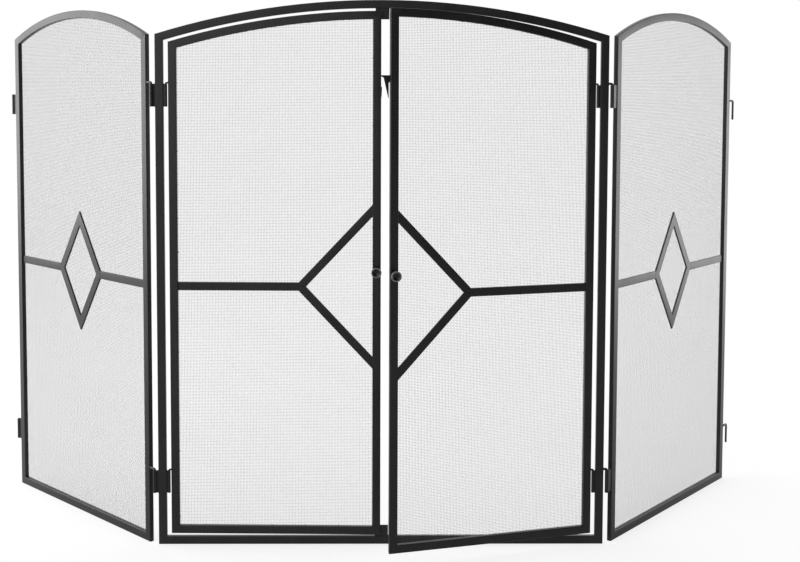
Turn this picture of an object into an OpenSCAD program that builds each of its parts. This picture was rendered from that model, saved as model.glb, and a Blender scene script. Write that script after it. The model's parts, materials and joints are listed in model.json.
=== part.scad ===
// Fireplace safety gate: an arched centre frame with two mesh doors, and two mesh wings that fold back.
// Millimetres. X to the right, Y to the back, Z up. The origin is under the middle of the centre frame.

/* [Centre frame] */
// Width over the centre frame
frame_w = 656; // [560:1:800]
// Height of every panel at its square corners
side_h = 750; // [600:1:900]
// Rise of the centre arch above the corners
arch_rise = 50; // [35:1:60]

/* [Tubes] */
// Face width of the tubes and of the flat bars
tube_w = 12; // [10:0.5:16]
// Depth of the tubes from front to back
tube_d = 7; // [6:0.5:9]
// Wall of the tubes
tube_wall = 1.2; // [0.8:0.1:1.6]
// Radius of the tubes' rounded edges
tube_edge = 1; // [0.6:0.1:1.4]

/* [Doors] */
// Gap beside each door, which holds its hinges
door_side_gap = 7; // [6.5:0.5:10]
// Gap over the doors
door_top_gap = 4; // [3:0.5:8]
// Gap under the doors
door_bottom_gap = 4.5; // [3:0.5:10]
// Gap between the two closed doors
doors_mid_gap = 3; // [2.5:0.5:6]
// Angle at which a door rests on its stops
door_closed_deg = 1.2; // [1.1:0.1:1.4]
// Angle of the right door as it stands, ajar
right_door_deg = 14.6; // [13:0.1:40]

/* [Wings] */
// Width of each wing
wing_w = 373; // [300:1:450]
// Rise of each wing's arch above its corners
wing_rise = 41; // [30:1:50]
// Angle by which the left wing is folded back
left_wing_deg = 43.7; // [0:0.1:90]
// Angle by which the right wing is folded back
right_wing_deg = 48.6; // [0:0.1:90]

/* [Mesh and bars] */
// Thickness of the woven mesh, as a sheet
mesh_t = 0.6; // [0.4:0.1:1]
// Width of the sheet's strips between the openings that stand for those of the weave
mesh_strip = 4; // [3:0.5:6]
// Openings across each sheet
mesh_columns = 9; // [6:1:12]
// Openings from the bottom of each sheet to its crown
mesh_rows = 12; // [8:1:12]
// Thickness of the flat decorative bars
bar_t = 3; // [2:0.5:3.5]
// Front face of the bars behind the front face of the tubes
bar_inset = 2.4; // [1.5:0.1:2.6]
// Height of the bars' middle line, on every panel
motif_z = 384; // [300:1:450]
// Width of the whole diamond on a wing
diamond_w = 120; // [80:1:160]
// Height of the whole diamond on a wing
diamond_h = 188; // [120:1:240]
// Depth of the open half diamond on a door, from the free stile
half_diamond_w = 97; // [70:1:130]
// Height of the open half diamond on a door, at the free stile
half_diamond_h = 206; // [150:1:260]

/* [Hooks and sockets] */
// Length of every hinge socket
socket_len = 33; // [25:1:40]
// Running clearance of a hook in its socket, on the radius
hook_fit = 0.08; // [0.05:0.01:0.1]
// Gap between a hook's arm and the top of its socket
hook_seat = 0.3; // [0.2:0.05:0.5]
// Height of a hook over all
hook_h = 34; // [28:1:40]
// Radius of the wire of the wing hooks
wing_hook_r = 1.75; // [1.5:0.05:2]
// Outer radius of the wing sockets
wing_socket_r = 3; // [2.8:0.1:3.4]
// Distance from the centre frame's sides to the wings' pin lines
frame_pin_reach = 5.2; // [5:0.1:7]
// Distance from a wing's inner side to its pin line
wing_pin_reach = 11.5; // [9:0.5:14]
// Distance from the right wing's outer side to the pin line of its outer hooks
hook_reach = 14; // [8.5:0.5:18]
// Distance from the left wing's outer side to the pin line of its outer sockets
socket_reach = 8; // [6.5:0.5:10]
// Radius of the wire of the door hooks
door_hook_r = 1.2; // [1:0.05:1.4]
// Outer radius of the door sockets
door_socket_r = 2.3; // [2.1:0.1:2.5]
// Pin line behind the front face of the tubes
pin_inset = 1.5; // [1.2:0.1:1.8]
// Height of the bottom of the lower hinge sockets
low_socket_z = 77.5; // [50:0.5:150]
// Depth of the bottom of the upper hinge sockets below the panels' corners
high_socket_drop = 104.5; // [90:0.5:300]
// Height of the bottom of the lower sockets on the left wing's outer edge
outer_low_socket_z = 76; // [50:0.5:150]
// Depth of the bottom of the upper sockets on the left wing's outer edge below the corners
outer_high_socket_drop = 124; // [90:0.5:300]
// Height of the top of the lower hook on the right wing's outer edge
outer_low_hook_z = 93; // [60:0.5:180]
// Depth of the top of the upper hook on the right wing's outer edge below the corners
outer_high_hook_drop = 96.5; // [60:0.5:260]

/* [Knobs] */
// Radius of a knob's rim
knob_r = 7.5; // [6:0.5:10]
// Length of a knob in front of the door
knob_len = 13; // [12:0.5:18]
// Height of the left knob
left_knob_z = 407; // [350:1:450]
// Height of the right knob
right_knob_z = 413.5; // [350:1:450]
// Radius of the knob screws
screw_r = 1.9; // [1.5:0.1:2.4]

/* [Stops and lap tab] */
// Width of a stop plate
stop_w = 20; // [14:1:30]
// Reach of a stop plate over the doors' edges
stop_lap = 12; // [8:0.5:20]
// Thickness of the stop plates and of the lap tab
plate_t = 1.5; // [1:0.1:1.6]
// Depth of the top of the lap tab on the right door's edge below the panels' corners
tab_drop = 58.5; // [50:0.5:100]
// Length of the lap tab's tongue past the door's edge
tab_reach = 14; // [10:0.5:20]
// Height of the lap tab over all
tab_h = 31.5; // [24:0.5:40]
// Height of the spacer wedge on the left door's edge
spacer_h = 19; // [12:1:24]
// Stand-out of the spacer wedge
spacer_t = 1.2; // [0.8:0.1:1.5]
// Depth of the middle of the spacer wedge below the top of the lap tab
spacer_drop = 25; // [20:0.5:60]

/* [Hidden] */

$fn = 64;
// Fineness of the large arcs, and the angle over which an arch tube is bent before it is mitred
arc_fn = 360;
arch_span = 80;

// Satin black coating, a little lighter on the wings, and the grey look of the mesh
black = [0.13, 0.13, 0.14];
wing_black = [0.2, 0.2, 0.21];
wire_grey = [0.62, 0.62, 0.64];
bare_steel = [0.45, 0.45, 0.47];

front_y = -tube_d / 2;
back_y = tube_d / 2;
pin_y = front_y + pin_inset;
frame_half = frame_w / 2;
high_socket_z = side_h - high_socket_drop;
outer_high_socket_z = side_h - outer_high_socket_drop;
outer_high_hook_z = side_h - outer_high_hook_drop;
tab_top_z = side_h - tab_drop;
spacer_mid_z = tab_top_z - spacer_drop;

// A panel is [low x, high x, bottom z, centre x of its arch, centre z of its arch, outer radius of its arch]
function arc_radius(half, rise) = (half * half + rise * rise) / (2 * rise);
frame_arc_r = arc_radius(frame_half, arch_rise);
frame_arc_z = side_h + arch_rise - frame_arc_r;
frame_panel = [-frame_half, frame_half, 0, 0, frame_arc_z, frame_arc_r];

door_low_x = doors_mid_gap / 2;
door_high_x = frame_half - tube_w - door_side_gap;
door_low_z = tube_w + door_bottom_gap;
door_panel = [door_low_x, door_high_x, door_low_z, 0, frame_arc_z, frame_arc_r - tube_w - door_top_gap];
door_pin_x = door_high_x + door_side_gap / 2;
door_reach = door_side_gap / 2;

wing_arc_r = arc_radius(wing_w / 2, wing_rise);
wing_panel = [0, wing_w, 0, wing_w / 2, side_h + wing_rise - wing_arc_r, wing_arc_r];
wing_pin_x = frame_half + frame_pin_reach;

// Height of a panel's arch at x, on its outer or its inner side
function outer_top(p, x) = p[4] + sqrt(p[5] * p[5] - (x - p[3]) * (x - p[3]));
function inner_top(p, x) = p[4] + sqrt((p[5] - tube_w) * (p[5] - tube_w) - (x - p[3]) * (x - p[3]));

// Places a right-hand door by its angle about its pin line
module swing_door(deg) {
    translate([door_pin_x, pin_y, 0]) rotate([0, 0, deg]) translate([-door_pin_x, -pin_y, 0]) children();
}

module right_door_place() {
    swing_door(right_door_deg) children();
}

module left_door_place() {
    mirror([1, 0, 0]) swing_door(door_closed_deg) children();
}

// Places a right-hand wing, whose inner side is at x = 0, by its angle about its pin line
module fold_wing(deg) {
    translate([wing_pin_x, pin_y, 0]) rotate([0, 0, deg]) translate([wing_pin_reach, -pin_y, 0]) children();
}

module right_wing_place() {
    fold_wing(right_wing_deg) children();
}

module left_wing_place() {
    mirror([1, 0, 0]) fold_wing(left_wing_deg) children();
}

// Stands a flat drawing in x and z upright, with thickness t behind the plane y
module upright(y, t) {
    translate([0, y + t, 0]) rotate([90, 0, 0]) linear_extrude(height = t) children();
}

// Each edge is rounded by three flats, so that the mitred arches stay clean
edge_fn = 12;

module rounded_rect(w, d, r) {
    square([w - 2 * r, d], center = true);
    square([w, d - 2 * r], center = true);
    for (sx = [-1, 1], sy = [-1, 1])
        translate([sx * (w / 2 - r), sy * (d / 2 - r)]) circle(r = r, $fn = edge_fn);
}

// Section of a tube, centred, with its bore
module tube_section() {
    difference() {
        rounded_rect(tube_w, tube_d, tube_edge);
        square([tube_w - 2 * tube_wall, tube_d - 2 * tube_wall], center = true);
    }
}

// Corners of a panel's mitres: outside and inside, at the top and at the bottom, on its low or high side
function side_x(p, high) = high ? p[1] : p[0];
function side_in_x(p, high) = high ? p[1] - tube_w : p[0] + tube_w;
function top_out(p, high) = [side_x(p, high), outer_top(p, side_x(p, high))];
function top_in(p, high) = [side_in_x(p, high), inner_top(p, side_in_x(p, high))];
function foot_out(p, high) = [side_x(p, high), p[2]];
function foot_in(p, high) = [side_in_x(p, high), p[2] + tube_w];
// A point past a, on the line that comes from b, so that a cut runs clear through the tube
function past(a, b) = a + (a - b) / 5;

// Region of a panel that belongs to its arch rail, above both corner mitres
module arch_region(p) {
    low = past(top_out(p, false), top_in(p, false));
    high = past(top_out(p, true), top_in(p, true));
    top_z = p[4] + p[5] + tube_w;
    polygon([
        low, past(top_in(p, false), top_out(p, false)),
        [(p[0] + p[1]) / 2, min(top_in(p, false)[1], top_in(p, true)[1]) - tube_w],
        past(top_in(p, true), top_out(p, true)), high,
        [high[0], top_z], [low[0], top_z]
    ]);
}

// Region of a panel that belongs to its bottom rail
module bottom_region(p) {
    polygon([
        past(foot_out(p, false), foot_in(p, false)), past(foot_out(p, true), foot_in(p, true)),
        past(foot_in(p, true), foot_out(p, true)), past(foot_in(p, false), foot_out(p, false))
    ]);
}

// Region of a panel that belongs to one of its stiles
module stile_region(p, high) {
    polygon([
        past(foot_out(p, high), foot_in(p, high)), past(foot_in(p, high), foot_out(p, high)),
        past(top_in(p, high), top_out(p, high)), past(top_out(p, high), top_in(p, high))
    ]);
}

// A straight tube on the low or the high side of a panel, mitred at both ends
module stile(p, high) {
    intersection() {
        translate([(side_x(p, high) + side_in_x(p, high)) / 2, 0, p[2] - 1])
            linear_extrude(height = p[4] + p[5] - p[2] + 2) tube_section();
        upright(-tube_d, 2 * tube_d) stile_region(p, high);
    }
}

module bottom_rail(p) {
    intersection() {
        translate([p[0] - 1, 0, p[2] + tube_w / 2]) rotate([90, 0, 90])
            linear_extrude(height = p[1] - p[0] + 2) rotate(90) tube_section();
        upright(-tube_d, 2 * tube_d) bottom_region(p);
    }
}

module arch_rail(p) {
    intersection() {
        translate([p[3], 0, p[4]]) rotate([90, 0, 0]) rotate([0, 0, 90 - arch_span / 2])
            rotate_extrude(angle = arch_span, $fn = arc_fn)
                translate([p[5] - tube_w / 2, 0]) tube_section();
        upright(-tube_d, 2 * tube_d) arch_region(p);
    }
}

// The outline that lies inside a panel's outer sides by the given distance, as a flat shape
module panel_inside(p, inset) {
    corner_z = min(top_in(p, false)[1], top_in(p, true)[1]);
    intersection() {
        union() {
            translate([p[3], p[4]]) circle(r = p[5] - inset, $fn = arc_fn);
            translate([p[0], p[2]]) square([p[1] - p[0], corner_z - inset - p[2]]);
        }
        translate([p[0] + inset, p[2] + inset]) square([p[1] - p[0] - 2 * inset, p[5] + p[4]]);
    }
}

bar_y = front_y + bar_inset;
mesh_y = bar_y + bar_t;

// Openings of a panel's mesh sheet. The highest one of each column runs up to the arch.
module mesh_openings(p) {
    low_x = p[0] + tube_w + mesh_strip;
    low_z = p[2] + tube_w + mesh_strip;
    step_x = (p[1] - tube_w - low_x) / mesh_columns;
    step_z = (p[4] + p[5] - tube_w - low_z) / mesh_rows;
    for (i = [0 : mesh_columns - 1]) {
        x = low_x + i * step_x;
        top_z = min(inner_top(p, x), inner_top(p, x + step_x - mesh_strip)) - mesh_strip;
        rows = floor((top_z - low_z) / step_z);
        for (j = [0 : rows - 1])
            translate([x, low_z + j * step_z])
                square([step_x - mesh_strip, j < rows - 1 ? step_z - mesh_strip : 2 * step_z]);
    }
}

module mesh_sheet(p) {
    upright(mesh_y, mesh_t) difference() {
        panel_inside(p, tube_w);
        intersection() {
            panel_inside(p, tube_w + mesh_strip);
            mesh_openings(p);
        }
    }
}

module flat_bar() {
    upright(bar_y, bar_t) children();
}

// Half diamond of a right-hand door. The inner lines run from the stile to the open point.
door_stile_in = door_low_x + tube_w;
half_slope = half_diamond_h / 2 / half_diamond_w;
half_rise = tube_w * sqrt(1 + half_slope * half_slope);
door_point_x = door_stile_in + half_diamond_w;
// Where the outer line of a slanting bar meets the edge of the cross bar
cross_start_x = door_point_x + (half_rise - tube_w / 2) / half_slope;

module door_slant(up) {
    flat_bar() translate([0, motif_z]) mirror([0, up ? 0 : 1]) polygon([
        [door_stile_in, half_diamond_h / 2], [door_point_x, 0],
        [cross_start_x, 0], [cross_start_x, tube_w / 2],
        [door_stile_in, half_diamond_h / 2 + half_rise]
    ]);
}

module door_cross(p) {
    flat_bar() translate([cross_start_x, motif_z - tube_w / 2])
        square([p[1] - tube_w - cross_start_x, tube_w]);
}

// Whole diamond of a wing, from four mitred bars, with its two arms
diamond_edge = sqrt(diamond_w * diamond_w + diamond_h * diamond_h) / 2;
diamond_in_w = diamond_w - tube_w * 2 * diamond_edge / (diamond_h / 2);
diamond_in_h = diamond_h - tube_w * 2 * diamond_edge / (diamond_w / 2);
// Where the outer line of the diamond meets the edge of an arm
arm_start = diamond_w / 2 * (1 - tube_w / diamond_h);

module wing_diamond() {
    for (sx = [-1, 1], sz = [-1, 1])
        flat_bar() translate([wing_w / 2, motif_z]) polygon([
            [sx * diamond_in_w / 2, 0], [sx * diamond_w / 2, 0],
            [0, sz * diamond_h / 2], [0, sz * diamond_in_h / 2]
        ]);
}

module wing_arm(outer) {
    s = outer ? 1 : -1;
    flat_bar() translate([wing_w / 2, motif_z]) polygon([
        [s * arm_start, tube_w / 2], [s * (wing_w / 2 - tube_w), tube_w / 2],
        [s * (wing_w / 2 - tube_w), -tube_w / 2], [s * arm_start, -tube_w / 2],
        [s * diamond_w / 2, 0]
    ]);
}

// A bent wire hook on a panel side at x = 0, that reaches to x = reach. Its top is at z = top.
bend_turns = 1.4;

module hook(reach, r, top) {
    bend_r = r * bend_turns;
    arm_z = top - r;
    translate([0, pin_y, arm_z]) rotate([0, 90, 0]) cylinder(r = r, h = reach - bend_r);
    translate([reach - bend_r, pin_y, arm_z - bend_r]) rotate([90, 0, 0])
        rotate_extrude(angle = 90) translate([bend_r, 0]) circle(r = r);
    translate([reach, pin_y, top - hook_h + r / 2]) cylinder(r = r, h = hook_h - r - bend_r - r / 2);
    translate([reach, pin_y, top - hook_h]) cylinder(r1 = r / 2, r2 = r, h = r / 2);
}

// Top of a hook whose socket starts at z
function hook_top(z, r) = z + socket_len + hook_seat + 2 * r;

// A barrel on a panel side at x = 0, held by a leaf of its own height
leaf_t = tube_d / 3;

module socket(reach, out_r, in_r, z) {
    difference() {
        union() {
            translate([reach, pin_y, z]) cylinder(r = out_r, h = socket_len);
            translate([0, pin_y - leaf_t / 4, z]) cube([reach, leaf_t, socket_len]);
        }
        translate([reach, pin_y, z - 1]) cylinder(r = in_r, h = socket_len + 2);
    }
}

module wing_socket(reach, z) {
    socket(reach, wing_socket_r, wing_hook_r + hook_fit, z);
}

module wing_hook(reach, top) {
    hook(reach, wing_hook_r, top);
}

// Knob: a neck that flares to a dished cup. Z runs out from the door here.
screw_bite = 7;
screw_fit = 0.05;
knob_rim = 1.1;

module knob_shape() {
    difference() {
        rotate_extrude() {
            polygon([
                [0, 0], [knob_r * 0.62, 0], [knob_r * 0.62, 1], [knob_r * 0.5, 2.2],
                [knob_r * 0.5, knob_len * 0.45], [knob_r * 0.72, knob_len * 0.6],
                [knob_r, knob_len - 2.6], [knob_r, knob_len - knob_rim],
                [knob_r - 2 * knob_rim, knob_len - knob_rim], [knob_r * 0.35, knob_len - 2.6],
                [0, knob_len - 2.8]
            ]);
            translate([knob_r - knob_rim, knob_len - knob_rim]) circle(r = knob_rim);
        }
        translate([0, 0, -1]) cylinder(r = screw_r + screw_fit, h = screw_bite + 1.3);
    }
}

screw_hole_r = screw_r + 0.2;
door_stile_x = door_low_x + tube_w / 2;

// Sets a shape that points along +Z against the front of the free stile, pointing to the front
module on_free_stile(z, y) {
    translate([door_stile_x, y, z]) rotate([90, 0, 0]) children();
}

module knob_hole(z) {
    on_free_stile(z, back_y + 1) cylinder(r = screw_hole_r, h = tube_d + 2);
}

module knob(z) {
    on_free_stile(z, front_y) knob_shape();
}

// Screw from the back, through the stile into the knob, with a slotted pan head
head_h = 2.2;

module knob_screw(z) {
    difference() {
        union() {
            on_free_stile(z, back_y) cylinder(r = screw_r, h = tube_d + screw_bite);
            on_free_stile(z, back_y + head_h) cylinder(r1 = screw_r * 1.55, r2 = screw_r * 1.9, h = head_h);
        }
        translate([door_stile_x, back_y + head_h, z]) cube([screw_r * 5, 1.6, 0.9], center = true);
    }
}

// Free stile of a door, with the hole for its knob screw
module free_stile(z) {
    difference() {
        stile(door_panel, false);
        knob_hole(z);
    }
}

module door_hooks() {
    for (z = [low_socket_z, high_socket_z])
        translate([door_high_x, 0, 0]) hook(door_reach, door_hook_r, hook_top(z, door_hook_r));
}

// Door sockets on the inner side of the right frame stile, which faces -X
module door_sockets() {
    translate([frame_half - tube_w, 0, 0]) mirror([1, 0, 0]) for (z = [low_socket_z, high_socket_z])
        socket(door_side_gap / 2, door_socket_r, door_hook_r + hook_fit, z);
}

// Stop plates under the arch and on the bottom rail. The closed doors rest in front of them.
stop_gap = 0.45;
door_proud = (frame_half - tube_w) * sin(door_closed_deg);
stop_y = back_y - door_proud + stop_gap;

module top_stop() {
    upright(stop_y, plate_t) difference() {
        translate([-stop_w / 2, door_panel[4] + door_panel[5] - stop_lap])
            square([stop_w, stop_lap + door_top_gap + tube_w]);
        difference() {
            translate([-stop_w, side_h]) square([2 * stop_w, arch_rise + tube_w]);
            translate([0, frame_arc_z]) circle(r = frame_arc_r - tube_w, $fn = arc_fn);
        }
    }
}

module bottom_stop() {
    upright(stop_y, plate_t)
        translate([-stop_w / 2, tube_w]) square([stop_w, door_bottom_gap + stop_lap]);
}

// Lap tab: a thin tapered plate on the free edge of the right door, half way into the tube's depth.
// Its tongue comes to rest on the front of the left door.
tab_foot_h = tab_h * 0.28;
tab_tail_gap = 1.9;

module lap_tab() {
    low_z = tab_top_z - tab_h;
    upright(0, plate_t) polygon([
        [door_low_x, tab_top_z], [door_low_x - tab_reach, tab_top_z],
        [door_low_x - tab_reach, tab_top_z - plate_t], [door_low_x - tab_reach * 0.66, tab_top_z - 2 * plate_t],
        [door_low_x - tab_reach * 0.55, tab_top_z - tab_h * 0.28],
        [door_low_x - tab_tail_gap - 0.5, low_z], [door_low_x - tab_tail_gap, low_z],
        [door_low_x - tab_tail_gap, tab_top_z - tab_foot_h - tab_tail_gap], [door_low_x, tab_top_z - tab_foot_h]
    ]);
}

// Wedge on the free edge of the left door that keeps the two doors apart
module spacer_wedge() {
    upright(-tube_d / 4, tube_d / 2) polygon([
        [door_low_x, spacer_mid_z - spacer_h / 2], [door_low_x, spacer_mid_z + spacer_h / 2],
        [door_low_x - spacer_t, spacer_mid_z + spacer_h * 0.4],
        [door_low_x - spacer_t * 0.7, spacer_mid_z - spacer_h * 0.1]
    ]);
}

// Centre frame
module frame_left_stile() { color(black) stile(frame_panel, false); }
module frame_right_stile() { color(black) stile(frame_panel, true); }
module frame_arch_rail() { color(black) arch_rail(frame_panel); }
module frame_bottom_rail() { color(black) bottom_rail(frame_panel); }
module frame_top_stop() { color(black) top_stop(); }
module frame_bottom_stop() { color(black) bottom_stop(); }
module frame_left_wing_sockets() {
    color(black) translate([-frame_half, 0, 0]) mirror([1, 0, 0])
        for (z = [low_socket_z, high_socket_z]) wing_socket(frame_pin_reach, z);
}
module frame_right_wing_hooks() {
    color(black) translate([frame_half, 0, 0])
        for (z = [low_socket_z, high_socket_z]) wing_hook(frame_pin_reach, hook_top(z, wing_hook_r));
}
module frame_left_door_sockets() { color(black) mirror([1, 0, 0]) door_sockets(); }
module frame_right_door_sockets() { color(black) door_sockets(); }

// Left door, a mirrored right-hand door
module left_door_hinge_stile() { color(black) left_door_place() stile(door_panel, true); }
module left_door_free_stile() { color(black) left_door_place() free_stile(left_knob_z); }
module left_door_arch_rail() { color(black) left_door_place() arch_rail(door_panel); }
module left_door_bottom_rail() { color(black) left_door_place() bottom_rail(door_panel); }
module left_door_cross_bar() { color(black) left_door_place() door_cross(door_panel); }
module left_door_upper_bar() { color(black) left_door_place() door_slant(true); }
module left_door_lower_bar() { color(black) left_door_place() door_slant(false); }
module left_door_mesh() { color(wire_grey) left_door_place() mesh_sheet(door_panel); }
module left_door_hooks() { color(black) left_door_place() door_hooks(); }
module left_door_knob() { color(black) left_door_place() knob(left_knob_z); }
module left_door_knob_screw() { color(bare_steel) left_door_place() knob_screw(left_knob_z); }
module left_door_spacer() { color(black) left_door_place() spacer_wedge(); }

// Right door
module right_door_hinge_stile() { color(black) right_door_place() stile(door_panel, true); }
module right_door_free_stile() { color(black) right_door_place() free_stile(right_knob_z); }
module right_door_arch_rail() { color(black) right_door_place() arch_rail(door_panel); }
module right_door_bottom_rail() { color(black) right_door_place() bottom_rail(door_panel); }
module right_door_cross_bar() { color(black) right_door_place() door_cross(door_panel); }
module right_door_upper_bar() { color(black) right_door_place() door_slant(true); }
module right_door_lower_bar() { color(black) right_door_place() door_slant(false); }
module right_door_mesh() { color(wire_grey) right_door_place() mesh_sheet(door_panel); }
module right_door_hooks() { color(black) right_door_place() door_hooks(); }
module right_door_knob() { color(black) right_door_place() knob(right_knob_z); }
module right_door_knob_screw() { color(bare_steel) right_door_place() knob_screw(right_knob_z); }
module right_door_lap_tab() { color(black) right_door_place() lap_tab(); }

// Wings. Both are drawn right-handed, with the inner side at x = 0.
module wing_sockets_inner() {
    mirror([1, 0, 0]) for (z = [low_socket_z, high_socket_z]) wing_socket(wing_pin_reach, z);
}
module wing_hooks_inner() {
    mirror([1, 0, 0]) for (z = [low_socket_z, high_socket_z])
        wing_hook(wing_pin_reach, hook_top(z, wing_hook_r));
}

module left_wing_inner_stile() { color(wing_black) left_wing_place() stile(wing_panel, false); }
module left_wing_outer_stile() { color(wing_black) left_wing_place() stile(wing_panel, true); }
module left_wing_arch_rail() { color(wing_black) left_wing_place() arch_rail(wing_panel); }
module left_wing_bottom_rail() { color(wing_black) left_wing_place() bottom_rail(wing_panel); }
module left_wing_inner_arm() { color(wing_black) left_wing_place() wing_arm(false); }
module left_wing_outer_arm() { color(wing_black) left_wing_place() wing_arm(true); }
module left_wing_diamond() { color(wing_black) left_wing_place() wing_diamond(); }
module left_wing_mesh() { color(wire_grey) left_wing_place() mesh_sheet(wing_panel); }
module left_wing_hooks() { color(wing_black) left_wing_place() wing_hooks_inner(); }
module left_wing_outer_sockets() {
    color(wing_black) left_wing_place() translate([wing_w, 0, 0])
        for (z = [outer_low_socket_z, outer_high_socket_z]) wing_socket(socket_reach, z);
}

module right_wing_inner_stile() { color(wing_black) right_wing_place() stile(wing_panel, false); }
module right_wing_outer_stile() { color(wing_black) right_wing_place() stile(wing_panel, true); }
module right_wing_arch_rail() { color(wing_black) right_wing_place() arch_rail(wing_panel); }
module right_wing_bottom_rail() { color(wing_black) right_wing_place() bottom_rail(wing_panel); }
module right_wing_inner_arm() { color(wing_black) right_wing_place() wing_arm(false); }
module right_wing_outer_arm() { color(wing_black) right_wing_place() wing_arm(true); }
module right_wing_diamond() { color(wing_black) right_wing_place() wing_diamond(); }
module right_wing_mesh() { color(wire_grey) right_wing_place() mesh_sheet(wing_panel); }
module right_wing_sockets() { color(wing_black) right_wing_place() wing_sockets_inner(); }
module right_wing_outer_hooks() {
    color(wing_black) right_wing_place() translate([wing_w, 0, 0])
        for (z = [outer_low_hook_z, outer_high_hook_z]) wing_hook(hook_reach, z);
}

frame_left_stile();
frame_right_stile();
frame_arch_rail();
frame_bottom_rail();
frame_top_stop();
frame_bottom_stop();
frame_left_wing_sockets();
frame_right_wing_hooks();
frame_left_door_sockets();
frame_right_door_sockets();
left_door_hinge_stile();
left_door_free_stile();
left_door_arch_rail();
left_door_bottom_rail();
left_door_cross_bar();
left_door_upper_bar();
left_door_lower_bar();
left_door_mesh();
left_door_hooks();
left_door_knob();
left_door_knob_screw();
left_door_spacer();
right_door_hinge_stile();
right_door_free_stile();
right_door_arch_rail();
right_door_bottom_rail();
right_door_cross_bar();
right_door_upper_bar();
right_door_lower_bar();
right_door_mesh();
right_door_hooks();
right_door_knob();
right_door_knob_screw();
right_door_lap_tab();
left_wing_inner_stile();
left_wing_outer_stile();
left_wing_arch_rail();
left_wing_bottom_rail();
left_wing_inner_arm();
left_wing_outer_arm();
left_wing_diamond();
left_wing_mesh();
left_wing_hooks();
left_wing_outer_sockets();
right_wing_inner_stile();
right_wing_outer_stile();
right_wing_arch_rail();
right_wing_bottom_rail();
right_wing_inner_arm();
right_wing_outer_arm();
right_wing_diamond();
right_wing_mesh();
right_wing_sockets();
right_wing_outer_hooks();
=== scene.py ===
# Looks of the fireplace safety gate: coated tubes and bars, woven wire panels, hooks in sockets,
# knobs, welds, and a plain pale studio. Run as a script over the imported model.
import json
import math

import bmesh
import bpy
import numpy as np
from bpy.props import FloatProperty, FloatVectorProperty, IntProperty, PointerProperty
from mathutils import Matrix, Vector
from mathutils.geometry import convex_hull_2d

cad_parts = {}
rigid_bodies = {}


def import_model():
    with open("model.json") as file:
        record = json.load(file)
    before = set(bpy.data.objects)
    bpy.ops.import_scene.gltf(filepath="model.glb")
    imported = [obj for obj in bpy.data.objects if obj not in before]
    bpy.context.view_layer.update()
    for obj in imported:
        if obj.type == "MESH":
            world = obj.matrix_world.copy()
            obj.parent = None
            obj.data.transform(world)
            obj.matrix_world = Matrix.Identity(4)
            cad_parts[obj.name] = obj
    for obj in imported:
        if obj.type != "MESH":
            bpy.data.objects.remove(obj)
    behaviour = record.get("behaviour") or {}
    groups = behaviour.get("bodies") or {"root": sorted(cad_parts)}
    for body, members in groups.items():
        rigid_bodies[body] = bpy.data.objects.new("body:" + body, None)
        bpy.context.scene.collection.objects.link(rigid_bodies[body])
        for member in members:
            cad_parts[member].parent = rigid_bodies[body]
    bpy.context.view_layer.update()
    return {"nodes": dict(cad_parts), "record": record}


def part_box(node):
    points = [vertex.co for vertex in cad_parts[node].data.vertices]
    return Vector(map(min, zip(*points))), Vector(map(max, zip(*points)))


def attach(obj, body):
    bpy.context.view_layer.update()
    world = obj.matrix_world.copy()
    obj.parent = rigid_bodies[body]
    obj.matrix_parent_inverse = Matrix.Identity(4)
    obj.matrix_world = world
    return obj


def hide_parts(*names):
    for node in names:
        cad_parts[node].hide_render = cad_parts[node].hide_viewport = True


bl_info = {
    "name": "Fireplace Safety Gate",
    "version": (1, 0, 0),
    "blender": (4, 5, 0),
    "location": "View3D > Sidebar > Gate",
    "description": "Builds the looks of an arched fireplace safety gate",
    "category": "Add Mesh",
}

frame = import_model()

NODES = frame["nodes"]
BODIES = frame["record"]["behaviour"]["bodies"]

# The four panels that hold woven wire; the centre frame holds none
WOVEN_PANELS = ("left_door", "right_door", "left_wing", "right_wing")
DOORS = ("left_door", "right_door")

# Points of a copied CAD mesh that are closer than this are merged, in metres
MERGE_WITHIN = 2e-6
# Its faces that meet at fewer degrees than this are joined
FLAT_WITHIN = 0.3
# Edges sharper than this many degrees are softened
SOFTEN_OVER = 50
# Softened edge of the thin stop plates, the tab and the wedge
PLATE_EDGE = 0.0003
# How far an upright wire stands in front of or behind the level wires, in wire thicknesses
WEAVE_DEPTH = 0.84
# Wider than any panel, in metres
PAST_ANY_PANEL = 10.0
# A spot weld's size, in radii of a weld bead
SPOT_SIZE = 1.1
# Points on a weld ring and on the arch of the spot welds
RING_POINTS = 25
# Points of a node this far apart in height belong to different hinges, in metres
HINGES_APART = 0.05
# A point this close to a panel's face lies on it, in metres
ON_FACE = 2e-5

# Half of the floor's side
FLOOR_HALF = 16.0
# Seen by the camera, the floor is a soft grey that shows shadows, and a glow that makes it nearly white.
# The glow grows from near the gate to far from it, in metres
SHADOW_GREYS = (0.25, 0.27)
GLOW_NEAR, GLOW_FAR = 0.778, 0.806
NEAR_GATE, FAR_FROM_GATE = 0.6, 3.0
# In gloss the floor has this share of its colour, and it turns white behind the gate, between these depths
FLOOR_IN_GLOSS = 0.45
WHITE_FROM, WHITE_TO = -0.2, 0.6
# Place, width and height of the two light panels, and the point that they face
LEFT_PANEL = ((-2.25, 0.55, 1.1), 1.5, 1.8)
RIGHT_PANEL = ((2.25, 0.7, 0.45), 1.5, 0.9)
PANELS_FACE = (0, 0.1, 0.5)
# Degrees of yaw, pitch and roll, place, and focal length in pixels of a photo of that width
CAMERA_TURN = (0.624, 3.524, 0.197)
CAMERA_PLACE = (0.0074, -1.6945, 0.6836)
PHOTO_WIDTH, FOCAL_PIXELS = 800, 1169.5
SENSOR_WIDTH = 36
# The photo is cropped from above, which takes a lens shift
CAMERA_SHIFT = -0.16


# Sizes and colours

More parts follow.
